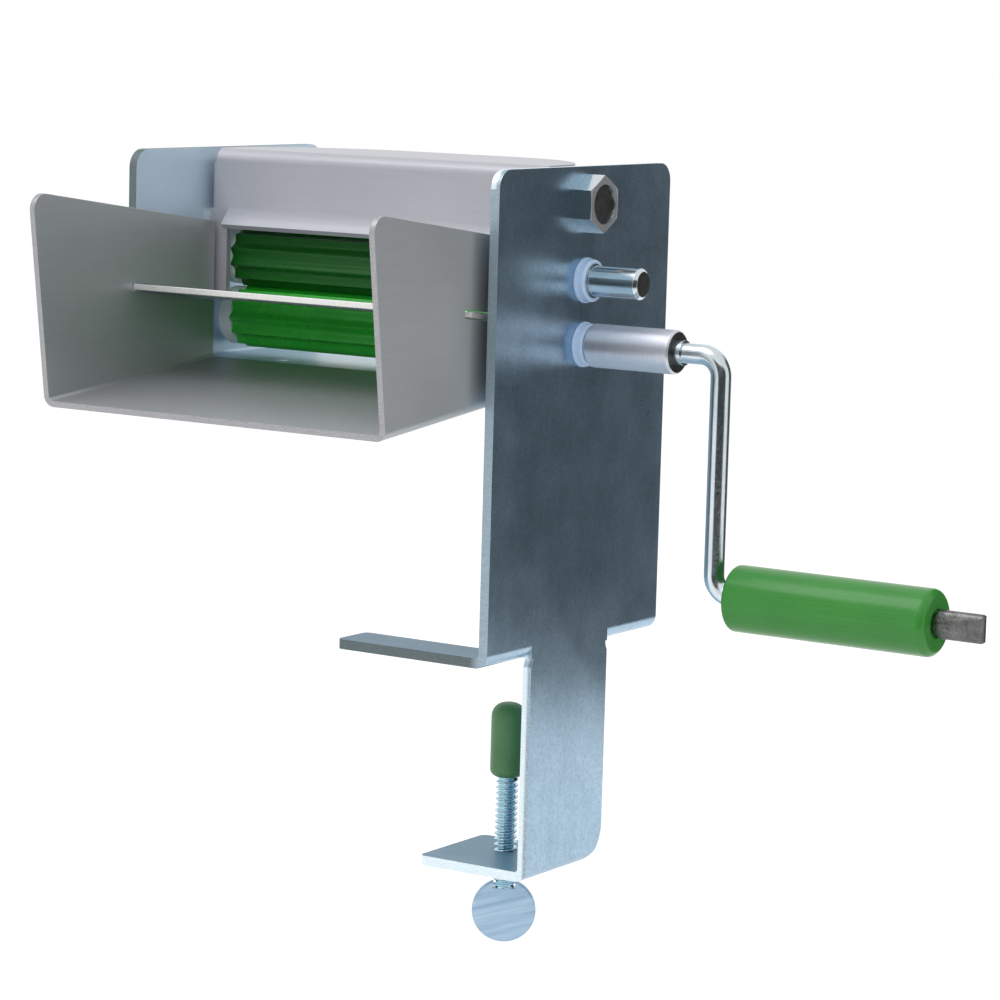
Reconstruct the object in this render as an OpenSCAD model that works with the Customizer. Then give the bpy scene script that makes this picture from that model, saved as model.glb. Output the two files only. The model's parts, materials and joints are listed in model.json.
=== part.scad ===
// Hand cranked pea sheller with a table clamp.
// Millimetres, +Z up, +X towards the crank, -Y towards the mouth of the tray.
// The origin is on the inner face of the clamp plate, at the middle of its depth,
// where the edge of the table meets it: Z = 0 is the table top.

/* [Clamp plate] */
// Thickness of the clamp plate's sheet
plate_t = 3.2; // [2.5:0.1:4]
// Depth of both side plates, front to back
plate_d = 102; // [90:1:120]
// Height of the side plates above the table
plate_h = 154.5; // [150:0.5:175]
// Radius of the plates' top corners
plate_corner = 6; // [2:0.5:9]
// Inside radius of the bends in the plates
plate_bend = 1.2; // [0.8:0.1:2]
// Clear width between the two side plates
inner_w = 138; // [110:1:180]

/* [Table clamp] */
// Reach of the two rests that lie on the table
rest_len = 54; // [35:1:62]
// Width of each rest
rest_w = 16; // [10:0.5:20]
// Width of the leg that goes down past the table's edge
leg_w = 45.5; // [40:0.5:50]
// How far the leg lies in front of the plate's middle
leg_shift = 2.5; // [0:0.25:3]
// Radius of the leg's rear lower corner
leg_corner = 12; // [4:1:16]
// How deep the relief beside each rest cuts into the leg
relief_in = 1; // [1:0.5:3]
// Radius of that relief
relief_r = 5; // [5:0.5:10]
// Height between the table top and the foot
throat_h = 69.5; // [60:0.5:90]
// Length of the foot under the table
foot_len = 38; // [32:0.5:45]
// Outside diameter of the clamp screw's thread
screw_d = 7.6; // [6:0.2:10]
// Distance of the clamp screw from the leg
screw_off = 20.3; // [14:0.1:24]
// How far the clamp screw lies in front of the plate's middle
screw_shift = 1; // [0:0.25:2]
// Outside diameter of the soft cap on the screw
pad_d = 11.5; // [10.5:0.5:14]
// Height of that cap
pad_h = 24.5; // [18:0.5:28]
// Table thickness that the clamp is set to
jaw_gap = 20.5; // [14:0.5:26]
// Diameter of the disc that turns the screw
turn_disc_d = 21; // [14:0.5:26]
// Thickness of that disc
turn_disc_t = 3; // [2:0.5:4]
// Free screw between the foot and the disc
neck_gap = 6.5; // [5:0.5:9]
// Turn of the disc's face away from the front
turn_disc_angle = 33; // [0:1:90]

/* [Rollers] */
// Diameter of both roller shafts inside the bushes
shaft_d = 10.8; // [9:0.1:11]
// Height of the upper shaft below the plates' top
upper_drop = 36; // [34:0.5:40]
// Distance between the two shafts
shaft_gap = 20.4; // [20.2:0.1:21.5]
// Diameter over the rollers' flutes
roller_d = 21; // [20.4:0.1:21.1]
// Depth of a flute
flute_depth = 1.6; // [1.2:0.1:1.8]
// Number of flutes on a roller
flute_count = 12; // [10:2:16]
// Diameter of the end discs
end_disc_d = 19.6; // [17:0.2:19.8]
// Thickness of an end disc
end_disc_t = 5.2; // [4:0.2:8]
// Free length of the upper shaft outside the plate
shaft_out = 21.5; // [14:0.5:30]
// Step in radius down to that free end
shaft_step = 0.4; // [0.3:0.05:0.6]
// Outside diameter of the bushes
bush_d = 13.5; // [13.2:0.1:14.5]
// How far a bush stands out of its plate
bush_out = 3.5; // [2:0.5:5]
// Flange diameter of the bushes, inside the plates
bush_flange_d = 17; // [16:0.5:18]

/* [Crank] */
// Outside diameter of the sleeve on the lower shaft
sleeve_d = 14; // [13:0.5:18]
// Length of that sleeve
sleeve_len = 31; // [26:1:40]
// Diameter of the crank's rod
rod_d = 6.5; // [6:0.1:7.5]
// Crank radius, from the lower shaft to the grip
crank_r = 75; // [60:1:100]
// Distance of the crank's arm from the plate
arm_off = 50.6; // [49:0.2:60]
// Bend radius of the rod's middle line
rod_bend = 6.6; // [6:0.2:9]
// Diameter of the grip
grip_d = 21; // [16:0.5:28]
// Length of the grip
grip_len = 69.5; // [50:0.5:95]
// Length of the rod's hammered end
tip_len = 15.5; // [10:0.5:20]
// Height of the hammered end
tip_h = 9; // [8:0.1:10]
// Thickness of the hammered end
tip_t = 4; // [3:0.1:5]

/* [Tray] */
// Thickness of the tray's and the shelf's sheet
tray_t = 2; // [1.5:0.1:2.5]
// Gap between the tray and each side plate
tray_gap = 3.2; // [1:0.1:5]
// Reach of the tray's top in front of the plates
tray_reach = 57.5; // [40:0.5:75]
// How far the tray's lower front edge lies behind its upper one
tray_lean = 9; // [0:0.5:15]
// Distance of the tray's rear edge from the shafts
tray_back = 15.5; // [15:0.1:16.5]
// Height of the tray's front
tray_h = 68.2; // [64:0.2:80]
// Drop of the tray's front top corner below the plates' top
tray_drop = 11.8; // [8:0.2:16]
// Slope of the tray's floor in degrees
floor_slope = 5.8; // [3:0.1:6]
// Slope of the tray's upper edges in degrees
rim_slope = 7.6; // [0:0.1:9]
// Radius of the tray's front top corners
tray_corner = 5; // [2:0.5:8]

/* [Feed shelf] */
// Reach of the shelf in front of the plates
shelf_reach = 7.5; // [0:0.5:20]
// Depth of the shelf's front edge below the plates' top
shelf_drop = 42.9; // [42:0.1:43.5]
// Slope of the shelf in degrees
shelf_slope = 7; // [6:0.1:8]
// Width of the step in front of the shelf's tabs
shelf_step = 3.3; // [2:0.1:5]

/* [Guard] */
// Thickness of the guard's sheet
guard_t = 2; // [1.5:0.1:2.5]
// Depth of the guard's roof, front to back
roof_d = 48; // [30:1:55]
// Radius of the roof's rear corners
roof_corner = 42; // [8:1:46]
// Height of the guard's front face
guard_face_h = 21; // [19:0.5:23]
// Length of the lip over the feed window
lip_len = 7.5; // [5:0.5:9]
// Lean of the lip in degrees
lip_lean = 45; // [20:1:60]
// Width of the guard's two legs
guard_leg_w = 7; // [5:0.5:9]

/* [Hidden] */

// Overrun of every cut, running gap and seat gap
cut = 1;
run_gap = 0.08;
seat_gap = 0.05;
rest_gap = 0.3;

// Facets: round_fn for what turns or fits, hull_fn inside hulls, arc_n along a rounded corner
round_fn = 64;
hull_fn = 32;
arc_n = 8;

zinc = [0.72, 0.78, 0.84];
satin = [0.70, 0.71, 0.72];
lilac = [0.76, 0.76, 0.80];
green = [0.20, 0.62, 0.16];
white = [0.90, 0.92, 0.95];
bright = [0.85, 0.87, 0.88];

// Side plates
side_t = 3;
front_y = -plate_d / 2;
rear_y = plate_d / 2;
left_x = -inner_w;
mid_x = -inner_w / 2;
bend_out = plate_bend + plate_t;
rear_chamfer = 2;

// Leg and foot
leg_front = -leg_w / 2 - leg_shift;
leg_rear = leg_w / 2 - leg_shift;
foot_top = -throat_h;
foot_bottom = foot_top - plate_t;
foot_corner = 2.5;
foot_in_share = 0.62;
foot_rear = leg_rear - leg_corner * foot_in_share;
rest_corner = 2;
root_front = leg_front + relief_in;
root_rear = leg_rear - relief_in;

// Clamp screw
screw_x = -screw_off;
screw_y = -screw_shift;
pad_top = -jaw_gap;
pad_bottom = pad_top - pad_h;
pad_wall_top = 7;
pad_round_top = 4.5;
pad_round_low = 2.5;
screw_top = pad_top - pad_wall_top;
disc_top = foot_bottom - neck_gap;
disc_seat = 3;
screw_bottom = disc_top - disc_seat;
screw_chamfer = 0.8;
disc_mid_z = disc_top - turn_disc_d / 2;
disc_edge = 0.4;

// Shafts, bushes and rollers
tie_drop = 11.7;
tie_z = plate_h - tie_drop;
upper_z = plate_h - upper_drop;
lower_z = upper_z - shaft_gap;
shaft_chamfer = 1;
shoulder_gap = 0.3;
bush_r = bush_d / 2;
bush_flange_t = 2.1;
bush_rim_h = 0.5;
bush_rim_t = 0.8;
disc_play = 0.4;
disc_right_x = -bush_flange_t - disc_play;
disc_left_x = left_x + bush_flange_t + disc_play;
roller_right_x = disc_right_x - end_disc_t;
roller_left_x = disc_left_x + end_disc_t;
disc_edge_round = 0.8;
shaft_tail = 5;
shaft_left_x = left_x - side_t - bush_out - shaft_tail;
ring_gap = 0.2;
ring_t = 1.2;
ring_over = 3;
flute_sharpness = 1.25;
flute_points = 10;

// Crank
sleeve_gap = 0.4;
sleeve_x0 = plate_t + bush_out + sleeve_gap;
sleeve_x1 = sleeve_x0 + sleeve_len;
sleeve_chamfer = 0.6;
shaft_in_sleeve = 16;
rod_in_sleeve = 12;
collar_d = 8;
collar_t = 2.6;
arm_x = plate_t + arm_off;
grip_z = lower_z - crank_r;
grip_gap = 1.6;
grip_start = rod_bend + grip_gap;
grip_x0 = arm_x + grip_start;
grip_bore_gap = 0.09;
grip_round = 2.5;
grip_mouth_d = 9;
grip_mouth_depth = 1.5;
tip_start = 0.4;
tip_ease = 0.3;
tip_from = grip_start + grip_len + tip_start;
tip_blend = 1.2;
tip_to = tip_from + tip_len;
tip_round = 1;

// Tray: heights and places along Y
tray_right_x = -tray_gap;
tray_left_x = left_x + tray_gap;
tray_w = tray_right_x - tray_left_x;
tray_bend = 1.5;
tray_top_y = front_y - tray_reach;
tray_top_z = plate_h - tray_drop;
tray_low_y = tray_top_y + tray_lean;
tray_low_z = tray_top_z - tray_h;
tray_rear_y = -tray_back;
tray_rear_top_z = tray_top_z - (tray_rear_y - tray_top_y) * tan(rim_slope);
floor_rear_z = tray_low_z + (tray_rear_y - tray_low_y) * tan(floor_slope);
wall_over = 12;

// Base under the rollers, level with the rear end of the tray's floor
base_drop = 69.5;
base_top = plate_h - base_drop;
base_bottom = base_top - side_t;
base_front = tray_rear_y + rest_gap;
flange_len = 14;
flange_inset = 8;
flange_top = base_bottom;
flange_bottom = flange_top - tray_t;
tray_screw_d = 4;
tray_screw_head_d = 7;
tray_screw_head_h = 2.6;
tray_screw_slot_w = 1;
tray_screw_slot_h = 1.2;
tray_screw_span_share = 0.58;
tray_screw_y = base_front + flange_len / 2;

// Feed shelf
shelf_y0 = front_y - shelf_reach;
shelf_z0 = plate_h - shelf_drop;
shelf_rear_y = -roller_d / 2 + rest_gap;
shelf_len = (shelf_rear_y - shelf_y0) / cos(shelf_slope);
slot_gap = 0.35;

// Guard, in its own frame: from the face's front in Y and from the plates' top in Z
guard_step = 1.5;
guard_y0 = tray_rear_y + guard_step;
guard_side = 2;
guard_x0 = left_x + guard_side;
guard_x1 = -guard_side;
guard_lap = 1;
roof_bend = 2;
roof_out = roof_bend + guard_t;
roof_inset = 2.3;
roof_r = min(roof_corner, roof_d - roof_out);
ear_bend = 0.3;
ear_out = ear_bend + guard_t;
ear_r = 9;
ear_top_gap = 0.5;
ear_top = -roof_out - ear_top_gap;
ear_low = -tie_drop - ear_r;
ear_reach = ear_r - guard_y0;
shelf_fall = (guard_y0 + guard_t - shelf_y0) * tan(shelf_slope);
leg_low = rest_gap - shelf_drop - shelf_fall;
lip_inset = 1;

// Tie bolt
tie_d = 10;
tie_hole_gap = 0.2;
hex_af = 16;
hex_e = hex_af / cos(30);
head_h = 6.4;
head_chamfer = 0.9;
head_recess_d = 12.6;
head_recess = 0.6;
spacer_d = 14;
nut_h = 8;
washer_d = 20;
washer_t = 2;
tie_tail = 4;
tie_chamfer = 1;

// Points of an arc that rounds corner b of the path a, b, c with radius r
function dir(p, q) = (q - p) / norm(q - p);
function rounded(a, b, c, r) =
    let (u = dir(b, a), v = dir(b, c), w = (u + v) / norm(u + v))
    let (half = acos(u * w), centre = b + w * r / sin(half), p = b + u * r / tan(half))
    let (start = atan2(p.y - centre.y, p.x - centre.x), turn = 180 - 2 * half)
    let (sense = cross(b - a, c - b) > 0 ? 1 : -1)
    [for (i = [0 : arc_n])
        centre + r * [cos(start + sense * turn * i / arc_n), sin(start + sense * turn * i / arc_n)]];

// Outline whose corners are rounded by the radii given; a radius of 0 keeps the corner
function outline(pts, radii) =
    let (n = len(pts))
    [for (i = [0 : n - 1]) let (a = pts[(i + n - 1) % n], b = pts[i], c = pts[(i + 1) % n])
        each (radii[i] > 0 ? rounded(a, b, c, radii[i]) : [b])];

// Outline in Y and Z, extruded along X between x0 and x1
module slab_x(x0, x1) {
    translate([x0, 0, 0]) rotate([90, 0, 90]) linear_extrude(x1 - x0) children();
}

// Outline in X and Z, extruded along Y between y0 and y1
module slab_y(y0, y1) {
    translate([0, y1, 0]) rotate([90, 0, 0]) linear_extrude(y1 - y0) children();
}

// Outline in X and Y, extruded along Z between z0 and z1
module slab_z(z0, z1) {
    translate([0, 0, z0]) linear_extrude(z1 - z0) children();
}

// Round bar along X at y, z
module bar_x(x0, x1, y, z, d) {
    translate([x0, y, z]) rotate([0, 90, 0]) cylinder(h = x1 - x0, d = d, $fn = round_fn);
}

// Round bar along X with a chamfer at each end
module chamfered_bar_x(x0, x1, y, z, d, c) {
    translate([x0, y, z]) rotate([0, 90, 0]) rotate_extrude($fn = round_fn)
        polygon([[0, 0], [d / 2 - c, 0], [d / 2, c], [d / 2, x1 - x0 - c],
            [d / 2 - c, x1 - x0], [0, x1 - x0]]);
}

// Tube along X
module tube_x(x0, x1, y, z, d_out, d_in) {
    difference() {
        bar_x(x0, x1, y, z, d_out);
        bar_x(x0 - cut, x1 + cut, y, z, d_in);
    }
}

// Bent sheet in section: an upright to height h and a flat to the left of width w.
// Its inner face is on X = 0 and its underside on Z = 0.
module angle_2d(h, w, t, r) {
    translate([0, t + r]) square([t, h - t - r]);
    translate([-w, 0]) square([w - r, t]);
    translate([-r, t + r]) intersection() {
        difference() {
            circle(r = r + t, $fn = round_fn);
            circle(r = r, $fn = round_fn);
        }
        translate([0, -r - t]) square([r + t, r + t]);
    }
}

// Outline of a side plate in Y and Z from z0 up, with rounded top corners
module side_outline(z0, low_r) {
    polygon(outline([[front_y, z0], [rear_y, z0], [rear_y, plate_h], [front_y, plate_h]],
        [low_r, low_r, plate_corner, plate_corner]));
}

// Holes of both side plates, along X, for the tie bolt and the bushes
module plate_holes(x0, x1) {
    bar_x(x0 - cut, x1 + cut, 0, tie_z, tie_d + 2 * tie_hole_gap);
    bar_x(x0 - cut, x1 + cut, 0, upper_z, bush_d + 2 * seat_gap);
    bar_x(x0 - cut, x1 + cut, 0, lower_z, bush_d + 2 * seat_gap);
}

// One rest: the bend, the strip on the table and the fillet that joins them. It is drawn for
// the front, and mirrored for the rear with its own root.
module table_rest(root) {
    strip_end = front_y + rest_w;
    fillet = root - strip_end;
    difference() {
        slab_y(front_y, root) angle_2d(bend_out + plate_bend, rest_len, plate_t, plate_bend);
        slab_z(-cut, plate_t + cut) {
            translate([-rest_len - cut, strip_end])
                square([rest_len + cut - plate_bend - fillet, fillet + cut]);
            translate([-plate_bend - fillet, root]) circle(r = fillet, $fn = round_fn);
        }
        slab_z(-cut, plate_t + cut) difference() {
            translate([-rest_len - cut, front_y - cut]) square([cut + rest_corner, rest_w + 2 * cut]);
            polygon(outline([[-rest_len, front_y], [0, front_y], [0, strip_end], [-rest_len, strip_end]],
                [rest_corner, 0, 0, rest_corner]));
        }
    }
}

module clamp_plate() {
    color(zinc) difference() {
        union() {
            slab_x(0, plate_t) side_outline(bend_out, 0);
            table_rest(root_front);
            mirror([0, 1, 0]) table_rest(-root_rear);
            slab_x(0, plate_t) translate([leg_front, foot_bottom + bend_out])
                square([leg_w, throat_h + plate_t]);
            translate([0, 0, foot_bottom]) slab_y(leg_front, leg_rear)
                angle_2d(bend_out + plate_bend, foot_len, plate_t, plate_bend);
        }
        // Reliefs below the two rests
        slab_x(-cut, plate_t + cut) for (side = [-1, 1])
            intersection() {
                translate([side < 0 ? root_front - relief_r : root_rear + relief_r, 0])
                    circle(r = relief_r, $fn = round_fn);
                translate([front_y, -relief_r]) square([plate_d, relief_r]);
            }
        // Free corners of the foot
        slab_z(foot_bottom - cut, foot_top + cut) difference() {
            translate([-foot_len - cut, leg_front - cut]) square([cut + foot_corner, leg_w + 2 * cut]);
            polygon(outline([[-foot_len, leg_front], [0, leg_front], [0, foot_rear],
                [-foot_len, foot_rear]], [foot_corner, 0, 0, foot_corner]));
        }
        slab_z(foot_bottom - cut, foot_bottom + bend_out + cut)
            translate([-foot_len - cut, foot_rear])
                square([foot_len + cut - bend_out + plate_t, leg_rear - foot_rear + cut]);
        // Rear lower corner of the leg
        slab_x(-bend_out, plate_t + cut) difference() {
            translate([leg_rear - leg_corner, foot_bottom - cut])
                square([leg_corner + cut, leg_corner + cut]);
            translate([leg_rear - leg_corner, foot_bottom + leg_corner])
                circle(r = leg_corner, $fn = round_fn);
        }
        plate_holes(0, plate_t);
        translate([screw_x, screw_y, foot_bottom - cut])
            cylinder(h = plate_t + 2 * cut, d = screw_d + 2 * run_gap, $fn = round_fn);
    }
}

module side_plate() {
    color(zinc) difference() {
        union() {
            slab_x(left_x - side_t, left_x) side_outline(base_bottom + side_t + plate_bend, rear_chamfer);
            translate([left_x, 0, base_bottom]) slab_y(base_front, rear_y) mirror([1, 0])
                angle_2d(side_t + 2 * plate_bend, inner_w, side_t, plate_bend);
        }
        plate_holes(left_x - side_t, left_x);
        tray_screw_places() cylinder(h = side_t + 2 * cut, d = tray_screw_d + 2 * seat_gap, $fn = hull_fn);
    }
}

// Places of the two screws that hold the tray, from just below the base up
module tray_screw_places() {
    for (side = [-1, 1])
        translate([mid_x + side * inner_w * tray_screw_span_share / 2, tray_screw_y, base_bottom - cut])
            children();
}

module guard() {
    color(lilac) translate([0, guard_y0, plate_h]) difference() {
        union() {
            // Front face and its two legs
            slab_y(0, guard_t) {
                translate([guard_x0 + ear_out, -guard_face_h])
                    square([guard_x1 - guard_x0 - 2 * ear_out, guard_face_h - roof_out]);
                for (x = [guard_x0, guard_x1 - guard_leg_w])
                    translate([x, leg_low]) square([guard_leg_w, guard_lap - guard_face_h - leg_low]);
            }
            // Lip over the feed window
            slab_x(guard_x0 + guard_leg_w + lip_inset, guard_x1 - guard_leg_w - lip_inset)
                translate([guard_t, -guard_face_h]) polygon([[-guard_t, guard_t], [0, guard_t], [0, 0],
                    [-lip_len * sin(lip_lean), -lip_len * cos(lip_lean)],
                    [-lip_len * sin(lip_lean) - guard_t * cos(lip_lean),
                        guard_t * sin(lip_lean) - lip_len * cos(lip_lean)]]);
            roof();
            for (side = [0, 1])
                translate([side * (guard_x0 + guard_x1), 0, 0]) mirror([side, 0, 0]) ear();
        }
        bar_x(left_x, 0, -guard_y0, -tie_drop, tie_d + 2 * tie_hole_gap);
    }
}

// Roof with its bend and a lap into the face; the outline has large rear corners
module roof() {
    x0 = guard_x0 + roof_inset;
    x1 = guard_x1 - roof_inset;
    intersection() {
        slab_x(x0, x1) translate([guard_t, 0]) rotate(180)
            angle_2d(roof_out + guard_lap, roof_d - guard_t, guard_t, roof_bend);
        slab_z(-roof_out - guard_lap - cut, cut)
            polygon(outline([[x0, 0], [x1, 0], [x1, roof_d], [x0, roof_d]], [0, 0, roof_r, roof_r]));
    }
}

// Left ear of the guard: a lap into the face, the bend and a lug with the tie bolt's hole
module ear() {
    intersection() {
        slab_z(ear_low, ear_top) translate([guard_x0 + guard_t, 0]) mirror([1, 0])
            angle_2d(ear_reach, ear_bend + guard_lap, guard_t, ear_bend);
        slab_x(guard_x0 - cut, guard_x0 + ear_out + guard_lap + cut) {
            translate([-guard_y0, -tie_drop]) circle(r = ear_r, $fn = round_fn);
            translate([-cut, ear_low]) square([cut - guard_y0, ear_top - ear_low]);
        }
    }
}

// Tray sheet as a sloping channel: the floor and two walls with their bends
module tray_channel() {
    wall_h = tray_h + wall_over;
    translate([0, tray_low_y, tray_low_z]) rotate([floor_slope, 0, 0])
        slab_y(-wall_over, plate_d + tray_reach) for (side = [0, 1])
            translate([side == 0 ? tray_right_x - tray_t : tray_left_x + tray_t, 0]) mirror([side, 0])
                angle_2d(wall_h, tray_w / 2 - tray_t, tray_t, tray_bend);
}

// Outline of the tray's walls in Y and Z
module tray_outline() {
    low_front = [tray_low_y, tray_low_z];
    lean = [tray_low_y - tray_top_y, tray_low_z - tray_top_z] / tray_h;
    polygon(outline([low_front + lean * wall_over, [tray_rear_y, tray_low_z - wall_over],
        [tray_rear_y, tray_rear_top_z], [tray_top_y, tray_top_z]],
        [0, 0, 0, tray_corner]));
}

// Slot for the shelf's tabs, open at the rear
module shelf_slots() {
    translate([0, shelf_y0, shelf_z0]) rotate([-shelf_slope, 0, 0])
        translate([tray_left_x - cut, 0, -tray_t - slot_gap])
            cube([tray_w + 2 * cut, tray_rear_y - shelf_y0 + cut, tray_t + 2 * slot_gap]);
}

module tray() {
    color(satin) difference() {
        union() {
            intersection() {
                tray_channel();
                slab_x(tray_left_x, tray_right_x) tray_outline();
            }
            // Joggled flange under the base
            slab_x(tray_left_x + flange_inset, tray_right_x - flange_inset)
                polygon([[tray_rear_y - tray_t, flange_bottom],
                    [base_front + flange_len, flange_bottom], [base_front + flange_len, flange_top],
                    [tray_rear_y, flange_top], [tray_rear_y, floor_rear_z + tray_t / 2],
                    [tray_rear_y - tray_t, floor_rear_z + tray_t / 2]]);
        }
        shelf_slots();
        tray_screw_places() translate([0, 0, -tray_t])
            cylinder(h = tray_t + 2 * cut, d = tray_screw_d + 2 * tie_hole_gap, $fn = hull_fn);
    }
}

module feed_shelf() {
    inner_x0 = tray_left_x + tray_t + slot_gap;
    inner_x1 = tray_right_x - tray_t - slot_gap;
    wall_len = (tray_rear_y - shelf_y0) / cos(shelf_slope);
    color(satin) translate([0, shelf_y0, shelf_z0]) rotate([-shelf_slope, 0, 0]) slab_z(-tray_t, 0) {
        translate([inner_x0, 0]) square([inner_x1 - inner_x0, shelf_len]);
        translate([tray_left_x, shelf_step]) square([tray_w, wall_len - shelf_step]);
    }
}

module tray_screws() {
    color(bright) tray_screw_places() translate([0, 0, cut]) {
        translate([0, 0, -tray_t]) cylinder(h = tray_t + side_t, d = tray_screw_d, $fn = hull_fn);
        translate([0, 0, -tray_t - tray_screw_head_h]) difference() {
            cylinder(h = tray_screw_head_h, d = tray_screw_head_d, $fn = hull_fn);
            translate([-tray_screw_head_d, -tray_screw_slot_w / 2, -cut])
                cube([2 * tray_screw_head_d, tray_screw_slot_w, cut + tray_screw_slot_h]);
        }
    }
}

// Hexagon with chamfered corners at its outer end, along +X from the origin
module hex_prism(h, e, af, c) {
    intersection() {
        rotate([0, 90, 0]) cylinder(h = h, d = e, $fn = 6);
        rotate([0, 90, 0]) rotate_extrude($fn = round_fn)
            polygon([[0, 0], [e / 2 + cut, 0], [e / 2 + cut, h - c * tan(30)],
                [af / 2 - c / 2, h], [0, h]]);
    }
}

module tie_bolt() {
    color(bright) difference() {
        union() {
            translate([plate_t, 0, tie_z]) hex_prism(head_h, hex_e, hex_af, head_chamfer);
            chamfered_bar_x(left_x - side_t - washer_t - nut_h - tie_tail, plate_t + head_h / 2,
                0, tie_z, tie_d, tie_chamfer);
        }
        bar_x(plate_t + head_h - head_recess, plate_t + head_h + cut, 0, tie_z, head_recess_d);
    }
}

module tie_spacer() {
    color(zinc) tube_x(guard_x0 + guard_t, guard_x1 - guard_t, 0, tie_z,
        spacer_d, tie_d + 2 * tie_hole_gap);
}

module ear_washers() {
    color(zinc) {
        tube_x(left_x, guard_x0, 0, tie_z, spacer_d, tie_d + 2 * tie_hole_gap);
        tube_x(guard_x1, 0, 0, tie_z, spacer_d, tie_d + 2 * tie_hole_gap);
    }
}

module tie_washer() {
    color(bright) tube_x(left_x - side_t - washer_t, left_x - side_t, 0, tie_z,
        washer_d, tie_d + 2 * tie_hole_gap);
}

module tie_nut() {
    color(bright) difference() {
        translate([left_x - side_t - washer_t, 0, tie_z]) mirror([1, 0, 0])
            hex_prism(nut_h, hex_e, hex_af, head_chamfer);
        bar_x(left_x - side_t - washer_t - nut_h - cut, left_x - side_t, 0, tie_z, tie_d + 2 * seat_gap);
    }
}

// Flanged plain bush in a plate of thickness t whose inner face is on X = 0; the outside is +X
module bush(t) {
    difference() {
        rotate([0, 90, 0]) rotate_extrude($fn = round_fn) polygon([[0, -bush_flange_t],
            [bush_flange_d / 2, -bush_flange_t], [bush_flange_d / 2, 0], [bush_r, 0],
            [bush_r, t], [bush_r + bush_rim_h, t], [bush_r + bush_rim_h, t + bush_rim_t],
            [bush_r, t + bush_rim_t], [bush_r, t + bush_out - bush_rim_h],
            [bush_r - bush_rim_h, t + bush_out], [0, t + bush_out]]);
        bar_x(-bush_flange_t - cut, t + bush_out + cut, 0, 0, shaft_d + 2 * run_gap);
    }
}

module right_bush(z) {
    color(white) translate([0, 0, z]) bush(plate_t);
}

module left_bush(z) {
    color(white) translate([left_x, 0, z]) mirror([1, 0, 0]) bush(side_t);
}

// Ring that keeps a shaft from sliding to the right
module shaft_ring(z) {
    x1 = left_x - side_t - bush_out - ring_gap;
    color(bright) tube_x(x1 - ring_t, x1, 0, z, shaft_d + 2 * ring_over, shaft_d + 2 * seat_gap);
}

// Outline of a roller: a whole number of hollow flutes between narrow crests, turned by the
// angle given, which is the angle of one crest
function flute_radius(a) =
    roller_d / 2 - flute_depth * pow(abs(sin(flute_count * a / 2)), flute_sharpness);
module fluted_outline(turn) {
    steps = flute_count * flute_points;
    polygon([for (i = [0 : steps - 1]) let (a = 360 * i / steps)
        flute_radius(a) * [cos(a + turn), sin(a + turn)]]);
}

module roller(z, turn) {
    color(green) difference() {
        slab_x(roller_left_x, roller_right_x) translate([0, z]) fluted_outline(turn);
        bar_x(roller_left_x - cut, roller_right_x + cut, 0, z, shaft_d + 2 * seat_gap);
    }
}

// End disc against the roller, with a rounded outer edge on the side of the plate
module end_disc(x, z, side) {
    color(white) translate([x, 0, z]) mirror([side, 0, 0]) difference() {
        rotate([0, 90, 0]) rotate_extrude($fn = round_fn)
            polygon(outline([[0, 0], [end_disc_d / 2, 0], [end_disc_d / 2, end_disc_t], [0, end_disc_t]],
                [0, 0, disc_edge_round, 0]));
        bar_x(-cut, end_disc_t + cut, 0, 0, shaft_d + 2 * seat_gap);
    }
}

// The free end of the upper shaft is turned down, outside its bush
module upper_shaft() {
    length = plate_t + shaft_out - shaft_left_x;
    shoulder = plate_t + bush_out + shoulder_gap - shaft_left_x;
    r = shaft_d / 2;
    end_r = r - shaft_step;
    color(bright) translate([shaft_left_x, 0, upper_z]) rotate([0, 90, 0]) rotate_extrude($fn = round_fn)
        polygon([[0, 0], [r - shaft_chamfer, 0], [r, shaft_chamfer], [r, shoulder], [end_r, shoulder],
            [end_r, length - shaft_chamfer], [end_r - shaft_chamfer, length], [0, length]]);
}

module lower_shaft() {
    color(bright) chamfered_bar_x(shaft_left_x, sleeve_x0 + shaft_in_sleeve,
        0, lower_z, shaft_d, shaft_chamfer);
}

module crank_sleeve() {
    color(satin) difference() {
        chamfered_bar_x(sleeve_x0, sleeve_x1, 0, lower_z, sleeve_d, sleeve_chamfer);
        bar_x(sleeve_x0 - cut, sleeve_x0 + shaft_in_sleeve, 0, lower_z, shaft_d + 2 * seat_gap);
        bar_x(sleeve_x1 - rod_in_sleeve, sleeve_x1 + cut, 0, lower_z, rod_d + 2 * seat_gap);
    }
}

// Quarter of a ring of rod in X and Z round the origin, in the quadrant given by sx and sz
module rod_elbow(sx, sz) {
    side = rod_bend + rod_d;
    intersection() {
        rotate([90, 0, 0]) rotate_extrude($fn = round_fn)
            translate([rod_bend, 0]) circle(d = rod_d, $fn = hull_fn);
        translate([sx > 0 ? 0 : -side, -rod_d, sz > 0 ? 0 : -side]) cube([side, 2 * rod_d, side]);
    }
}

// The rod is drawn from the crossing of its arm and the grip's axis
module crank_rod() {
    sleeve_end = sleeve_x1 - arm_x;
    color(bright) translate([arm_x, 0, grip_z]) {
        bar_x(sleeve_end - rod_in_sleeve, -rod_bend, 0, crank_r, rod_d);
        bar_x(sleeve_end, sleeve_end + collar_t, 0, crank_r, collar_d);
        translate([-rod_bend, 0, crank_r - rod_bend]) rod_elbow(1, 1);
        translate([0, 0, rod_bend]) cylinder(h = crank_r - 2 * rod_bend, d = rod_d, $fn = round_fn);
        translate([rod_bend, 0, rod_bend]) rod_elbow(-1, -1);
        bar_x(rod_bend, tip_from, 0, 0, rod_d);
        hammered_tip();
    }
}

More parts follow.
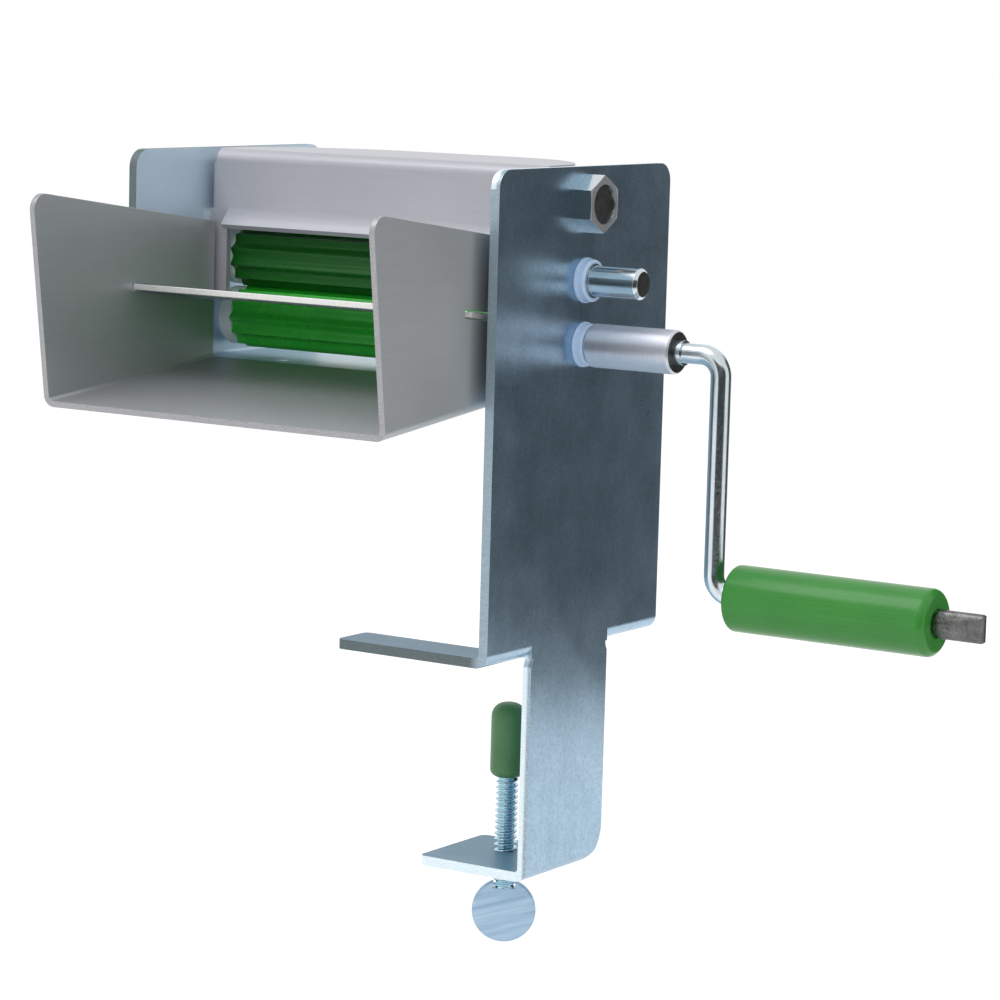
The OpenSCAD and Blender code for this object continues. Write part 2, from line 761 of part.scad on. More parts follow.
// The rod's end, hammered flat so that the grip can't come off
module hammered_tip() {
    hull() {
        bar_x(tip_from - tip_start, tip_from, 0, 0, rod_d - tip_ease);
        tip_slice(tip_from + tip_blend);
        tip_slice(tip_to - tip_round);
        translate([tip_to - tip_start, 0, 0])
            cube([tip_start, tip_t / 2, tip_h - tip_round], center = true);
    }
}

// Thin slice of the flat end with rounded upper and lower edges
module tip_slice(x) {
    for (side = [-1, 1])
        translate([x, 0, side * (tip_h - tip_t) / 2]) rotate([0, 90, 0])
            cylinder(h = tip_start, d = tip_t, center = true, $fn = hull_fn);
}

module grip() {
    r = grip_d / 2;
    bore = rod_d / 2 + grip_bore_gap;
    color(green) translate([grip_x0, 0, grip_z]) rotate([0, 90, 0]) rotate_extrude($fn = round_fn)
        polygon(outline([[bore, 0], [r, 0], [r, grip_len], [grip_mouth_d / 2, grip_len],
            [grip_mouth_d / 2, grip_len - grip_mouth_depth], [bore, grip_len - grip_mouth_depth]],
            [0, grip_round / 2, grip_round, 0, 0, 0]));
}

module clamp_screw() {
    r = screw_d / 2;
    h = screw_top - screw_bottom;
    color(bright) translate([screw_x, screw_y, screw_bottom]) rotate_extrude($fn = round_fn)
        polygon([[0, 0], [r - screw_chamfer, 0], [r, screw_chamfer], [r, h - screw_chamfer],
            [r - screw_chamfer, h], [0, h]]);
}

module turn_disc() {
    color(bright) difference() {
        translate([screw_x, screw_y, disc_mid_z]) rotate([0, 0, turn_disc_angle]) rotate([90, 0, 0])
            translate([0, 0, -turn_disc_t / 2]) rotate_extrude($fn = round_fn)
                polygon([[0, 0], [turn_disc_d / 2 - disc_edge, 0], [turn_disc_d / 2, disc_edge],
                    [turn_disc_d / 2, turn_disc_t - disc_edge], [turn_disc_d / 2 - disc_edge, turn_disc_t],
                    [0, turn_disc_t]]);
        translate([screw_x, screw_y, screw_bottom])
            cylinder(h = disc_seat + cut, d = screw_d + 2 * seat_gap, $fn = round_fn);
    }
}

module clamp_pad() {
    r = pad_d / 2;
    color(green) translate([screw_x, screw_y, pad_bottom]) difference() {
        rotate_extrude($fn = round_fn)
            polygon(outline([[0, 0], [r, 0], [r, pad_h], [0, pad_h]],
                [0, pad_round_low, pad_round_top, 0]));
        translate([0, 0, -cut])
            cylinder(h = pad_h - pad_wall_top + cut + run_gap, d = screw_d + 2 * run_gap, $fn = round_fn);
    }
}

// Where the rollers meet, a crest of the lower one faces a flute of the upper one
module upper_roller() { roller(upper_z, -90 + 180 / flute_count); }
module lower_roller() { roller(lower_z, 90); }
module upper_bush_right() { right_bush(upper_z); }
module upper_bush_left() { left_bush(upper_z); }
module lower_bush_right() { right_bush(lower_z); }
module lower_bush_left() { left_bush(lower_z); }
module upper_disc_right() { end_disc(roller_right_x, upper_z, 0); }
module upper_disc_left() { end_disc(roller_left_x, upper_z, 1); }
module lower_disc_right() { end_disc(roller_right_x, lower_z, 0); }
module lower_disc_left() { end_disc(roller_left_x, lower_z, 1); }
module upper_ring() { shaft_ring(upper_z); }
module lower_ring() { shaft_ring(lower_z); }

clamp_plate();
side_plate();
guard();
tray();
feed_shelf();
tray_screws();
tie_bolt();
tie_spacer();
ear_washers();
tie_washer();
tie_nut();
upper_bush_right();
upper_bush_left();
lower_bush_right();
lower_bush_left();
upper_shaft();
upper_roller();
upper_disc_right();
upper_disc_left();
upper_ring();
lower_shaft();
lower_roller();
lower_disc_right();
lower_disc_left();
lower_ring();
crank_sleeve();
crank_rod();
grip();
clamp_screw();
turn_disc();
clamp_pad();
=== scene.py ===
"""Finishes for the hand cranked pea sheller: zinc sheet, satin tray, green rollers and grip.

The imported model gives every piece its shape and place. Copies of most solids get broken edges and
smooth curves, the clamp screw gets its thread, and each piece gets its material.
"""
import json
import math

import bmesh
import bpy
from mathutils import Matrix, Vector

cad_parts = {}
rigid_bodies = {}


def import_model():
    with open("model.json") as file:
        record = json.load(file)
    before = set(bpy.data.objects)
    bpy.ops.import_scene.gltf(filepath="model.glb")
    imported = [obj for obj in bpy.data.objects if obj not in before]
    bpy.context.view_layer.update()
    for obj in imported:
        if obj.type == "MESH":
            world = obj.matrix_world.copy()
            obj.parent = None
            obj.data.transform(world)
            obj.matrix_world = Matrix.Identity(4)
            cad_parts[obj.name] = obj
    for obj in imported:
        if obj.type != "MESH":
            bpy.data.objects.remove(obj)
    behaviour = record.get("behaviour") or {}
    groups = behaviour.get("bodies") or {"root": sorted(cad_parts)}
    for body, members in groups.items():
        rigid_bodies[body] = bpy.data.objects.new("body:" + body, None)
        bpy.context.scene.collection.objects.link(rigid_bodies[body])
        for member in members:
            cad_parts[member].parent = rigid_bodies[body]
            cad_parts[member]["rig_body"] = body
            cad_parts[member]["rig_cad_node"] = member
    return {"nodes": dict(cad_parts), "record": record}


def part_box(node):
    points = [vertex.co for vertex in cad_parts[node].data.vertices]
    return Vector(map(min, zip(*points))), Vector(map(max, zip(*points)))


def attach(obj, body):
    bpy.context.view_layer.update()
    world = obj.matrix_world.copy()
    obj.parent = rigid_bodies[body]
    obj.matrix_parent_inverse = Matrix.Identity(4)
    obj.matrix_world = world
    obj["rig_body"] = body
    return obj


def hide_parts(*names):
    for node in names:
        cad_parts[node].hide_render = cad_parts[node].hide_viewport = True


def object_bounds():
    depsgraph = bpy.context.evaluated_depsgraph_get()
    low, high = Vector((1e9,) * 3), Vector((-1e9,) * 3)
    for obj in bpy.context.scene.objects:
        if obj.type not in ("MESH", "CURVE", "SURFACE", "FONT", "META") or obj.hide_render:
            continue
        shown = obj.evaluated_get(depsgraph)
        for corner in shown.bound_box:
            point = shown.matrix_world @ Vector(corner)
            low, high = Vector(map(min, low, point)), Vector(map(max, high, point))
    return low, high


MM = 0.001
WHITE = (1.0, 1.0, 1.0, 1.0)

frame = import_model()
nodes = frame["nodes"]
bodies = {node: body for body, members in frame["record"]["behaviour"]["bodies"].items()
          for node in members}
cad_low, cad_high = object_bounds()

# Heights and places that several pieces share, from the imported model
PLATE_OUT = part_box("clamp_plate")[1].x
PLATE_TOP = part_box("clamp_plate")[1].z
SHEET_T = PLATE_OUT
TRAY_LOW, TRAY_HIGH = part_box("tray")
SCREW_LOW, SCREW_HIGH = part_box("clamp_screw")
SCREW_AXIS = (SCREW_LOW + SCREW_HIGH) / 2
GRIP_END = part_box("grip")[1].x

# The turning disc's face looks this way, and its brush marks slant across it
DISC_FACING = Vector((0.545, -0.838, 0.0))
DISC_SLANT = math.radians(-14)

# Where the clamp plate's cut edge turns from the burnished band to the broken one
BURNISHED_TO = 0.45 * SHEET_T
BROKEN_FROM = 0.7 * SHEET_T


# Shader building

def socket(tree, link_or_value, target):
    """Feeds a node's input from another node's output, or sets it to a plain value."""
    if isinstance(link_or_value, bpy.types.NodeSocket):
        tree.links.new(link_or_value, target)
    else:
        target.default_value = link_or_value


def add_mix(tree, factor, dark, light):
    """A colour mix: dark at factor 0, light at factor 1. Each may be a link or a colour."""
    mix = tree.nodes.new("ShaderNodeMix")
    mix.data_type = "RGBA"
    socket(tree, factor, mix.inputs["Factor"])
    socket(tree, dark, mix.inputs["A"])
    socket(tree, light, mix.inputs["B"])
    return mix.outputs["Result"]


def add_range(tree, value, low, high, out_low, out_high):
    """Maps low to high onto out_low to out_high, held at both ends."""
    remap = tree.nodes.new("ShaderNodeMapRange")
    socket(tree, value, remap.inputs["Value"])
    for name, number in (("From Min", low), ("From Max", high), ("To Min", out_low), ("To Max", out_high)):
        remap.inputs[name].default_value = number
    return remap.outputs["Result"]


def add_noise(tree, vector, scale, detail, roughness):
    """Noise from 0 to 1 round a middle of about a half."""
    noise = tree.nodes.new("ShaderNodeTexNoise")
    socket(tree, vector, noise.inputs["Vector"])
    socket(tree, scale, noise.inputs["Scale"])
    noise.inputs["Detail"].default_value = detail
    noise.inputs["Roughness"].default_value = roughness
    return noise.outputs["Fac"]


def make_marks_group():
    """Group that all finishes share: clouds, drawn streaks and fine grain, each from 0 to 1."""
    group = bpy.data.node_groups.new("surface_marks", "ShaderNodeTree")
    ports = group.interface
    ports.new_socket("Position", in_out="INPUT", socket_type="NodeSocketVector")
    ports.new_socket("Stretch", in_out="INPUT", socket_type="NodeSocketVector")
    for name in ("Cloud Scale", "Streak Scale", "Grain Scale"):
        ports.new_socket(name, in_out="INPUT", socket_type="NodeSocketFloat")
    for name in ("Cloud", "Streak", "Grain"):
        ports.new_socket(name, in_out="OUTPUT", socket_type="NodeSocketFloat")
    given = group.nodes.new("NodeGroupInput").outputs
    result = group.nodes.new("NodeGroupOutput").inputs
    stretch = group.nodes.new("ShaderNodeVectorMath")
    stretch.operation = "MULTIPLY"
    group.links.new(given["Position"], stretch.inputs[0])
    group.links.new(given["Stretch"], stretch.inputs[1])
    cloud = add_noise(group, given["Position"], given["Cloud Scale"], detail=5.0, roughness=0.62)
    streak = add_noise(group, stretch.outputs["Vector"], given["Streak Scale"], detail=6.0, roughness=0.7)
    grain = add_noise(group, given["Position"], given["Grain Scale"], detail=3.0, roughness=0.6)
    spans = (("Cloud", cloud, 0.2, 0.8), ("Streak", streak, 0.3, 0.7), ("Grain", grain, 0.3, 0.7))
    for name, noise, low, high in spans:
        group.links.new(add_range(group, noise, low, high, 0.0, 1.0), result[name])
    return group


MARKS = make_marks_group()


class Finish:
    """A material under construction: its Principled shader, its marks and a few ways to use them.

    Cloud, streak and grain say about how many marks there are to a metre. The streaks are drawn out
    along the axes where the stretch is small. The constants are set on the shader's own sockets.
    """

    def __init__(self, name, stretch, cloud, streak, grain, **constants):
        self.material = bpy.data.materials.new(name)
        self.material.use_nodes = True
        self.tree = self.material.node_tree
        self.shader = self.tree.nodes["Principled BSDF"]
        for key, value in constants.items():
            self.shader.inputs[key.replace("_", " ")].default_value = value
        self.position = self.tree.nodes.new("ShaderNodeTexCoord").outputs["Object"]
        self.marks = self.tree.nodes.new("ShaderNodeGroup")
        self.marks.node_tree = MARKS
        self.tree.links.new(self.position, self.marks.inputs["Position"])
        self.marks.inputs["Stretch"].default_value = stretch
        self.marks.inputs["Cloud Scale"].default_value = cloud
        self.marks.inputs["Streak Scale"].default_value = streak
        self.marks.inputs["Grain Scale"].default_value = grain
        self.cloud = self.marks.outputs["Cloud"]
        self.streak = self.marks.outputs["Streak"]
        self.grain = self.marks.outputs["Grain"]

    def along(self, axis, low, high):
        """0 to 1 along an axis of the object, from low to high in metres."""
        parts = self.tree.nodes.new("ShaderNodeSeparateXYZ")
        self.tree.links.new(self.position, parts.inputs["Vector"])
        return add_range(self.tree, parts.outputs[axis], low, high, 0.0, 1.0)

    def mix(self, factor, dark, light):
        return add_mix(self.tree, factor, dark, light)

    def over(self, base, mark, share, colour):
        """The base with a colour laid over it where the mark is strong, up to the share given."""
        return self.mix(add_range(self.tree, mark, 0.0, 1.0, 0.0, share), base, colour)

    def colour(self, link):
        self.tree.links.new(link, self.shader.inputs["Base Color"])

    def roughness(self, mark, low, high):
        """Roughness from low to high, as the mark gets stronger."""
        spread = add_range(self.tree, mark, 0.0, 1.0, low, high)
        self.tree.links.new(spread, self.shader.inputs["Roughness"])

    def bump(self, mark, depth, strength):
        """Dents of the depth given, in metres, where the mark is weak."""
        bump = self.tree.nodes.new("ShaderNodeBump")
        bump.inputs["Distance"].default_value = depth
        bump.inputs["Strength"].default_value = strength
        self.tree.links.new(mark, bump.inputs["Height"])
        self.tree.links.new(bump.outputs["Normal"], self.shader.inputs["Normal"])


def tone(red, green, blue):
    """A linear colour without transparency."""
    return (red, green, blue, 1.0)


def zinc_sheet():
    """Bluish zinc plating on rolled sheet: soft clouds, faint vertical drawing, tiny dark specks."""
    finish = Finish("zinc_sheet", stretch=(1.0, 1.0, 0.05), cloud=60.0, streak=420.0, grain=1100.0,
                    Metallic=1.0)
    base = finish.mix(finish.cloud, tone(0.29, 0.42, 0.53), tone(0.49, 0.66, 0.82))
    drawn = finish.over(base, finish.streak, 0.3, tone(0.52, 0.69, 0.85))
    finish.colour(finish.over(drawn, finish.grain, 0.5, tone(0.20, 0.30, 0.37)))
    finish.roughness(finish.cloud, 0.26, 0.32)
    finish.bump(finish.grain, depth=0.008 * MM, strength=0.3)
    return finish.material


def zinc_inside_painted_light():
    """The same plating inside the frame, made paler and more diffuse than on the clamp plate: painted
    light for the bright guard it reflects.
    """
    finish = Finish("zinc_inside_painted_light", stretch=(1.0, 1.0, 0.05), cloud=30.0, streak=420.0, grain=1500.0,
                    Metallic=0.45)
    base = finish.mix(finish.cloud, tone(0.56, 0.70, 0.82), tone(0.68, 0.84, 0.97))
    finish.colour(finish.over(base, finish.grain, 0.25, tone(0.46, 0.58, 0.68)))
    finish.roughness(finish.cloud, 0.30, 0.42)
    finish.bump(finish.grain, depth=0.015 * MM, strength=0.3)
    return finish.material


def zinc_rest():
    """Upper faces of the rests and the foot, where the plating is rubbed and darker."""
    finish = Finish("zinc_rest", stretch=(0.06, 1.0, 1.0), cloud=70.0, streak=500.0, grain=1500.0,
                    Metallic=0.15)
    finish.shader.inputs["Specular IOR Level"].default_value = 0.25
    base = finish.mix(finish.cloud, tone(0.12, 0.25, 0.34), tone(0.20, 0.36, 0.48))
    finish.colour(finish.over(base, finish.streak, 0.3, tone(0.26, 0.42, 0.54)))
    finish.roughness(finish.grain, 0.32, 0.46)
    finish.bump(finish.grain, depth=0.02 * MM, strength=0.35)
    return finish.material


def rest_cut_edge():
    """Dull dark cut edge of the rests and the left plate, paler where it runs up the clamp plate."""
    finish = Finish("rest_cut_edge", stretch=(1.0, 1.0, 8.0), cloud=90.0, streak=700.0, grain=2200.0,
                    Metallic=0.7)
    worn = finish.mix(finish.streak, tone(0.06, 0.08, 0.085), tone(0.14, 0.18, 0.19))
    plated = finish.mix(finish.streak, tone(0.26, 0.35, 0.42), tone(0.46, 0.58, 0.66))
    base = finish.mix(finish.along("X", -SHEET_T, 0.0), worn, plated)
    finish.colour(finish.over(base, finish.grain, 0.4, tone(0.24, 0.29, 0.31)))
    finish.roughness(finish.grain, 0.35, 0.60)
    finish.bump(finish.grain, depth=0.05 * MM, strength=0.45)
    return finish.material


def clamp_cut_edge():
    """Sheared edge of the clamp plate: burnished on the inner side, a rough darker break on the outer."""
    finish = Finish("clamp_cut_edge", stretch=(1.0, 1.0, 8.0), cloud=90.0, streak=700.0, grain=2200.0,
                    Metallic=0.9)
    burnished = finish.mix(finish.streak, tone(0.60, 0.70, 0.77), tone(0.82, 0.92, 0.97))
    broken = finish.mix(finish.grain, tone(0.20, 0.26, 0.30), tone(0.48, 0.58, 0.65))
    across = finish.along("X", BURNISHED_TO, BROKEN_FROM)
    finish.colour(finish.mix(across, burnished, broken))
    finish.roughness(finish.grain, 0.26, 0.50)
    finish.bump(finish.grain, depth=0.05 * MM, strength=0.45)
    return finish.material


def tray_sheet():
    """Satin aluminium with fine grain along the walls."""
    finish = Finish("tray_sheet", stretch=(1.0, 0.04, 1.0), cloud=18.0, streak=900.0, grain=2600.0,
                    Metallic=0.7)
    base = finish.mix(finish.cloud, tone(0.41, 0.43, 0.445), tone(0.51, 0.53, 0.55))
    finish.colour(finish.over(base, finish.streak, 0.35, tone(0.56, 0.58, 0.59)))
    finish.roughness(finish.grain, 0.38, 0.48)
    finish.bump(finish.streak, depth=0.01 * MM, strength=0.3)
    return finish.material


def tray_cut_edge(name, dark, light):
    """Cut edge of the tray or the shelf: grey with paler flecks."""
    finish = Finish(name, stretch=(1.0, 1.0, 1.0), cloud=60.0, streak=900.0, grain=2400.0, Metallic=0.6)
    finish.colour(finish.mix(finish.grain, dark, light))
    finish.roughness(finish.cloud, 0.30, 0.45)
    finish.bump(finish.grain, depth=0.03 * MM, strength=0.4)
    return finish.material


def guard_sheet():
    """Pale lilac grey satin coat on the guard."""
    finish = Finish("guard_sheet", stretch=(0.05, 1.0, 1.0), cloud=15.0, streak=700.0, grain=2200.0,
                    Metallic=0.35, Coat_Weight=0.15)
    base = finish.mix(finish.cloud, tone(0.375, 0.38, 0.425), tone(0.44, 0.445, 0.49))
    finish.colour(finish.over(base, finish.streak, 0.3, tone(0.50, 0.50, 0.54)))
    finish.roughness(finish.grain, 0.38, 0.50)
    finish.bump(finish.grain, depth=0.012 * MM, strength=0.3)
    return finish.material


def bright_steel():
    """Bright zinc on turned and drawn steel, with drawing marks along the crank's axis."""
    finish = Finish("bright_steel", stretch=(0.06, 1.0, 1.0), cloud=80.0, streak=1600.0, grain=3000.0,
                    Metallic=1.0)
    base = finish.mix(finish.cloud, tone(0.56, 0.63, 0.67), tone(0.74, 0.81, 0.85))
    finish.colour(finish.over(base, finish.grain, 0.35, tone(0.38, 0.43, 0.46)))
    finish.roughness(finish.streak, 0.14, 0.26)
    finish.bump(finish.streak, depth=0.008 * MM, strength=0.35)
    return finish.material


def thread_zinc():
    """Pale zinc on the clamp screw's thread, duller than on the turned steel."""
    finish = Finish("thread_zinc", stretch=(1.0, 1.0, 1.0), cloud=120.0, streak=900.0, grain=2600.0,
                    Metallic=1.0)
    base = finish.mix(finish.cloud, tone(0.44, 0.62, 0.70), tone(0.60, 0.78, 0.86))
    finish.colour(finish.over(base, finish.grain, 0.2, tone(0.30, 0.42, 0.48)))
    finish.roughness(finish.grain, 0.12, 0.20)
    return finish.material


def hammered_steel():
    """The rod's flattened end: dull, dark and dented by the hammer."""
    finish = Finish("hammered_steel", stretch=(0.3, 1.0, 1.0), cloud=260.0, streak=500.0, grain=1600.0,
                    Metallic=1.0)
    base = finish.mix(finish.cloud, tone(0.09, 0.09, 0.085), tone(0.26, 0.265, 0.26))
    finish.colour(finish.over(base, finish.grain, 0.4, tone(0.08, 0.08, 0.08)))
    finish.roughness(finish.streak, 0.25, 0.50)
    finish.bump(finish.cloud, depth=0.35 * MM, strength=0.7)
    return finish.material


def dark_steel():
    """Dull end faces: the bolt's dished face, the shafts' ends and the end of the sleeve."""
    finish = Finish("dark_steel", stretch=(1.0, 1.0, 1.0), cloud=300.0, streak=900.0, grain=1800.0,
                    Metallic=1.0)
    base = finish.mix(finish.cloud, tone(0.02, 0.022, 0.024), tone(0.10, 0.105, 0.10))
    finish.colour(finish.over(base, finish.grain, 0.5, tone(0.16, 0.16, 0.15)))
    finish.roughness(finish.grain, 0.35, 0.6)
    finish.bump(finish.cloud, depth=0.25 * MM, strength=0.8)
    return finish.material


def sleeve_metal():
    """Turned aluminium with fine rings round the sleeve and a faint lilac cast."""
    finish = Finish("sleeve_metal", stretch=(1.0, 0.02, 0.02), cloud=60.0, streak=3200.0, grain=2600.0,
                    Metallic=0.9)
    base = finish.mix(finish.streak, tone(0.62, 0.63, 0.68), tone(0.76, 0.77, 0.83))
    finish.colour(finish.over(base, finish.cloud, 0.4, tone(0.54, 0.54, 0.60)))
    finish.roughness(finish.grain, 0.32, 0.45)
    finish.bump(finish.streak, depth=0.01 * MM, strength=0.4)
    return finish.material


def roller_green(name, specular, dark, light, line):
    """Green extrusion with faint lengthwise die lines, the glossier the more specular; each roller's
    colours and gloss also carry its painted light or shade.
    """
    finish = Finish(name, stretch=(0.02, 1.0, 1.0), cloud=40.0, streak=1800.0, grain=2000.0, IOR=1.5)
    finish.shader.inputs["Coat Weight"].default_value = specular / 2
    finish.shader.inputs["Specular IOR Level"].default_value = specular
    base = finish.mix(finish.cloud, dark, light)
    finish.colour(finish.over(base, finish.streak, 0.2, line))
    finish.roughness(finish.cloud, 0.20, 0.32)
    finish.bump(finish.streak, depth=0.01 * MM, strength=0.3)
    return finish.material


def grip_green():
    """Green grip with faint die lines and a little handling haze."""
    finish = Finish("grip_green", stretch=(0.03, 1.0, 1.0), cloud=45.0, streak=1500.0, grain=2400.0,
                    Coat_Weight=0.1, IOR=1.5)
    finish.shader.inputs["Specular IOR Level"].default_value = 0.3
    base = finish.mix(finish.cloud, tone(0.028, 0.20, 0.028), tone(0.04, 0.26, 0.037))
    finish.colour(finish.over(base, finish.streak, 0.3, tone(0.07, 0.34, 0.06)))
    finish.roughness(finish.cloud, 0.20, 0.34)
    finish.bump(finish.streak, depth=0.012 * MM, strength=0.25)
    return finish.material


def pad_green():
    """Soft semi-gloss green rubber of the pad."""
    finish = Finish("pad_green", stretch=(1.0, 1.0, 0.2), cloud=120.0, streak=900.0, grain=2600.0,
                    Coat_Weight=0.1, IOR=1.48)
    base = finish.mix(finish.cloud, tone(0.045, 0.17, 0.055), tone(0.07, 0.22, 0.08))
    finish.colour(finish.over(base, finish.streak, 0.25, tone(0.10, 0.27, 0.11)))
    finish.roughness(finish.grain, 0.38, 0.52)
    finish.bump(finish.grain, depth=0.02 * MM, strength=0.3)
    return finish.material


def white_plastic(name, dark, light):
    """Milky bluish white plastic of the bushes and end discs."""
    finish = Finish(name, stretch=(1.0, 1.0, 1.0), cloud=90.0, streak=900.0, grain=2200.0,
                    IOR=1.5, Subsurface_Weight=0.12)
    finish.shader.inputs["Subsurface Radius"].default_value = (1.2 * MM, 1.4 * MM, 1.8 * MM)
    base = finish.mix(finish.cloud, dark, light)
    finish.colour(finish.over(light, finish.grain, 0.3, base))
    finish.roughness(finish.grain, 0.28, 0.42)
    finish.bump(finish.grain, depth=0.01 * MM, strength=0.3)
    return finish.material


def disc_steel():
    """The turning disc: pale zinc with coarse brush marks that slant across its face."""
    finish = Finish("disc_steel", stretch=(0.05, 0.05, 1.0), cloud=60.0, streak=430.0, grain=2600.0,
                    Metallic=0.35)
    slant = finish.tree.nodes.new("ShaderNodeVectorRotate")
    slant.rotation_type = "AXIS_ANGLE"
    slant.inputs["Center"].default_value = SCREW_AXIS
    slant.inputs["Axis"].default_value = DISC_FACING
    slant.inputs["Angle"].default_value = DISC_SLANT
    finish.tree.links.new(finish.position, slant.inputs["Vector"])
    finish.tree.links.new(slant.outputs["Vector"], finish.marks.inputs["Position"])
    base = finish.mix(finish.streak, tone(0.20, 0.36, 0.52), tone(0.58, 0.76, 0.94))
    finish.colour(finish.over(base, finish.cloud, 0.3, tone(0.38, 0.54, 0.70)))
    finish.roughness(finish.streak, 0.24, 0.40)
    finish.bump(finish.streak, depth=0.03 * MM, strength=0.5)
    return finish.material


ZINC = zinc_sheet()
# The side plate's zinc is a paler copy of the clamp plate's, painted light for the guard it faces
ZINC_INSIDE_LIT = zinc_inside_painted_light()
ZINC_REST = zinc_rest()
REST_EDGE = rest_cut_edge()
CLAMP_EDGE = clamp_cut_edge()
TRAY = tray_sheet()
TRAY_EDGE = tray_cut_edge("tray_cut_edge", tone(0.27, 0.27, 0.29), tone(0.46, 0.46, 0.48))
SHELF_EDGE = tray_cut_edge("shelf_cut_edge", tone(0.72, 0.72, 0.71), tone(0.90, 0.90, 0.88))
GUARD = guard_sheet()
BRIGHT = bright_steel()
THREAD = thread_zinc()
HAMMERED = hammered_steel()
DARK = dark_steel()
SLEEVE = sleeve_metal()
# Both rollers are one green plastic: the upper gets a darker, less glossy copy as painted shade under the
# guard, the lower a brighter, glossier copy as painted light
ROLLERS = {
    "upper": roller_green("roller_green_painted_shade", 0.25, tone(0.008, 0.10, 0.011), tone(0.012, 0.14, 0.015),
                          tone(0.018, 0.19, 0.021)),
    "lower": roller_green("roller_green", 0.6, tone(0.02, 0.46, 0.03), tone(0.03, 0.60, 0.04),
                          tone(0.06, 0.70, 0.06)),
}
GRIP = grip_green()
PAD = pad_green()
BUSH = white_plastic("bush_plastic", tone(0.40, 0.54, 0.74), tone(0.50, 0.66, 0.88))
END_DISC = white_plastic("disc_plastic", tone(0.70, 0.86, 0.88), tone(0.84, 0.95, 0.97))
DISC = disc_steel()


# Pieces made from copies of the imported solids

# Widths of the small rounds that break the pieces' edges
PLATE_ROUND = 0.35 * MM
SHEET_ROUND = 0.3 * MM
PAD_ROUND = 0.3 * MM
HEX_ROUND = 0.25 * MM
GRIP_ROUND = 0.25 * MM
WASHER_ROUND = 0.2 * MM
ROD_ROUND = 0.2 * MM
TURNED_ROUND = 0.15 * MM
SHAFT_ROUND = 0.12 * MM
ROUND_SEGMENTS = 2

# An edge is broken when its faces turn by more than this many degrees
SHARP_DEGREES = 40
HEX_DEGREES = 25
ROD_DEGREES = 50
ROLLER_DEGREES = 60

# Faces that turn by less than this are shaded as one curve, or become one face
SMOOTH_DEGREES = 32
FLAT_DEGREES = 0.3

# Corners nearer than this are one corner, and large faces decide how the small ones are shaded
MERGE_REACH = 0.001 * MM
FACE_AREA_WEIGHT = 100

# Where one material of a piece gives way to another; the head's heights are over the clamp plate
TOP_BAND = 8 * MM
BEND_END_X = -2 * MM
REST_FLOOR_Z = -1 * MM
TRAY_WALL_BAND = 2.2 * MM
HEAD_RIM_FROM = 5 * MM
HEAD_DISH_TO = 6.1 * MM

# A face looks along an axis when its normal has more than this share of it
LOOSELY = 0.5
RIM_SLOPE = 0.6
BROADLY = 0.7
SQUARELY = 0.9


def deselect():
    """Leaves nothing selected."""
    for item in bpy.context.selected_objects:
        item.select_set(False)


def use(piece):
    """Makes the piece the only one selected, and the active one."""
    deselect()
    piece.select_set(True)
    bpy.context.view_layer.objects.active = piece


def copied(node, name):
    """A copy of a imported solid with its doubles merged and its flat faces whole."""
    piece = nodes[node].copy()
    piece.data = nodes[node].data.copy()
    piece.name = name
    piece.parent = None
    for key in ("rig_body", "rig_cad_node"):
        if key in piece:
            del piece[key]
    bpy.context.scene.collection.objects.link(piece)
    mesh = bmesh.new()
    mesh.from_mesh(piece.data)
    bmesh.ops.remove_doubles(mesh, verts=mesh.verts, dist=MERGE_REACH)
    bmesh.ops.dissolve_limit(mesh, angle_limit=math.radians(FLAT_DEGREES),
                             verts=mesh.verts, edges=mesh.edges)
    mesh.to_mesh(piece.data)
    mesh.free()
    piece.data.materials.clear()
    return piece


def break_edges(piece, width, sharp_degrees):
    """Breaks the sharp edges with a small round and smooths what is left."""
    bevel = piece.modifiers.new("edge", "BEVEL")
    bevel.width = width
    bevel.segments = ROUND_SEGMENTS
    bevel.limit_method = "ANGLE"
    bevel.angle_limit = math.radians(sharp_degrees)
    bevel.harden_normals = False
    use(piece)
    bpy.ops.object.modifier_apply(modifier=bevel.name)
    bpy.ops.object.shade_smooth_by_angle(angle=math.radians(SMOOTH_DEGREES))
    flat = piece.modifiers.new("flat", "WEIGHTED_NORMAL")
    flat.keep_sharp = True
    flat.weight = FACE_AREA_WEIGHT
    bpy.ops.object.modifier_apply(modifier=flat.name)


def paint(piece, materials, choose=None):
    """Gives the piece its materials; choose picks one of them for a face by its centre and normal."""
    for material in materials:
        piece.data.materials.append(material)
    if choose:
        for face in piece.data.polygons:
            face.material_index = choose(face.center, face.normal)


def stand_for(piece, node):
    """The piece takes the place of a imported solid, on that solid's body."""
    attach(piece, bodies[node])
    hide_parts(node)


def dress(node, name, materials, width, choose=None, sharp_degrees=SHARP_DEGREES):
    """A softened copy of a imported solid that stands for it."""
    piece = copied(node, name)
    break_edges(piece, width, sharp_degrees)
    paint(piece, materials, choose)
    stand_for(piece, node)


def on_plate_edge(centre, normal):
    """1 on the cut edges of a side plate: those that face front or back, and the top."""
    faces_front_or_back = abs(normal.y) > LOOSELY
    on_top = normal.z > LOOSELY and centre.z > PLATE_TOP - TOP_BAND
    return 1 if faces_front_or_back or on_top else 0


def on_clamp_plate(centre, normal):
    """2 on the upper faces of rests and foot, 3 on the rests' cut edges, else as on_plate_edge."""
    beyond_bend = centre.x < BEND_END_X
    if beyond_bend and normal.z > BROADLY:
        return 2
    if beyond_bend and centre.z > REST_FLOOR_Z and abs(normal.y) > LOOSELY:
        return 3
    return on_plate_edge(centre, normal)


